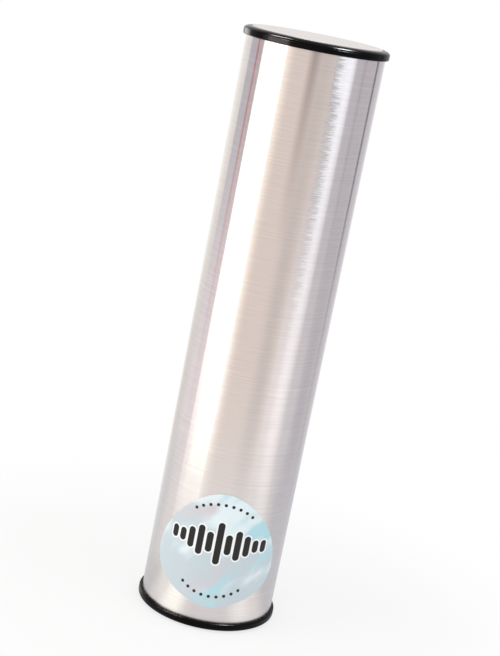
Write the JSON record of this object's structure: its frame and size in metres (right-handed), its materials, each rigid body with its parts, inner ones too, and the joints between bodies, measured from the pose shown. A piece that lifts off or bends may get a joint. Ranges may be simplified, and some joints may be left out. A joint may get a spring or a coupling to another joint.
{
  "type": "percussion shaker",
  "caption": "Tubular percussion shaker: a brushed aluminium tube closed by discs in black push-on rings, with loose steel shot inside.",
  "frame": {"origin": "centre of the lower end disc's outer face, on the tube's axis, at the lowest point of the part", "axes": "+Z along the tube from its labelled end to its bare end; -Y is the side that carries the label; +X is to the right when the label is faced"},
  "size_m": [0.0524, 0.0524, 0.218],
  "materials": {
    "tube": "fine brush lines round the tube, satin gloss",
    "end_disc": "satin",
    "rim": "glossy soft black vinyl",
    "label": "pearly printed film",
    "shot": "polished, lightly tumbled"
  },
  "bodies": {
    "shaker": {"tube": "tube", "label": "label", "bottom_end_disc": "end_disc", "bottom_rim": "rim", "top_end_disc": "end_disc", "top_rim": "rim"},
    "shot_core": {"shot_inner_01": "shot", "shot_inner_02": "shot", "shot_inner_03": "shot", "shot_inner_04": "shot", "shot_inner_05": "shot", "shot_inner_06": "shot", "shot_inner_07": "shot", "shot_inner_08": "shot", "shot_inner_09": "shot", "shot_inner_10": "shot", "shot_inner_11": "shot", "shot_inner_12": "shot", "shot_inner_13": "shot", "shot_inner_14": "shot", "shot_inner_15": "shot", "shot_inner_16": "shot", "shot_inner_17": "shot", "shot_inner_18": "shot", "shot_inner_19": "shot", "shot_inner_20": "shot", "shot_inner_21": "shot", "shot_inner_22": "shot", "shot_inner_23": "shot", "shot_inner_24": "shot", "shot_inner_25": "shot", "shot_inner_26": "shot", "shot_inner_27": "shot", "shot_inner_28": "shot", "shot_inner_29": "shot", "shot_inner_30": "shot"},
    "shot_wall": {"shot_wall_01": "shot", "shot_wall_02": "shot", "shot_wall_03": "shot", "shot_wall_04": "shot", "shot_wall_05": "shot", "shot_wall_06": "shot", "shot_wall_07": "shot", "shot_wall_08": "shot", "shot_wall_09": "shot", "shot_wall_10": "shot", "shot_wall_11": "shot", "shot_wall_12": "shot", "shot_wall_13": "shot", "shot_wall_14": "shot", "shot_wall_15": "shot", "shot_wall_16": "shot", "shot_wall_17": "shot", "shot_wall_18": "shot", "shot_wall_19": "shot", "shot_wall_20": "shot", "shot_wall_21": "shot", "shot_wall_22": "shot", "shot_wall_23": "shot"}
  },
  "joints": [
    {"name": "shot_throw", "type": "slide", "parent": "shaker", "child": "shot_core", "axis": [0, 0, 1], "range_m": [0, 0.2112]},
    {"name": "shot_swirl", "type": "hinge", "parent": "shot_core", "child": "shot_wall", "pos_m": [0, 0, 0.0034], "axis": [0, 0, 1], "continuous": true}
  ]
}
